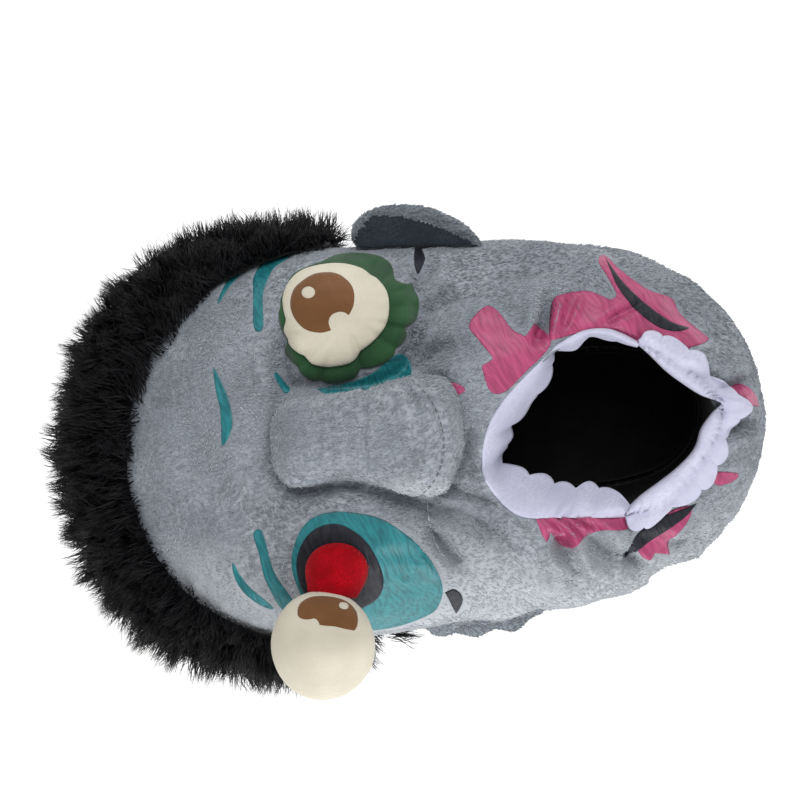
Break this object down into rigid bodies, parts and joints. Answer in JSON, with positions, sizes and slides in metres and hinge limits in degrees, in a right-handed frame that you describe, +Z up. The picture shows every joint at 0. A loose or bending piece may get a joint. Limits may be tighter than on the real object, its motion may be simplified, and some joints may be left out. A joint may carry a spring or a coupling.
{
  "type": "novelty slipper",
  "caption": "Adult plush slipper shaped as a monster's head: stuffed grey upper, deep black fur crown, sewn-on eye, nose, ears, an eyeball on a stalk and scalloped felt teeth round the collar.",
  "frame": {"origin": "middle of the outsole's flat underside, on the slipper's centre line, where it stands on the floor", "axes": "-X points to the toe, +X to the heel, +Y to the side with the sewn-on eye, +Z up"},
  "size_m": [0.3566, 0.2348, 0.1491],
  "materials": {
    "grey_plush": "short-pile minky plush over stuffing",
    "black_fur": "long-pile faux fur",
    "white_felt": "brushed knit felt",
    "cream_knit": "matte woven cloth, printed",
    "green_knit": "matte woven cloth, printed",
    "red_fleece": "brushed fleece",
    "black_lining": "brushed tricot lining",
    "sole_cloth": "foam covered with non-slip dotted cloth"
  },
  "bodies": {
    "root": {"outsole": "sole_cloth", "insole": "black_lining", "upper": "grey_plush", "fur": "black_fur", "ear_right": "grey_plush", "ear_left": "grey_plush", "nose": "grey_plush", "eye_lid": "green_knit", "eye": "cream_knit", "stalk": "red_fleece", "eyeball": "cream_knit", "teeth_front": "white_felt", "teeth_rear": "white_felt"}
  },
  "joints": []
}
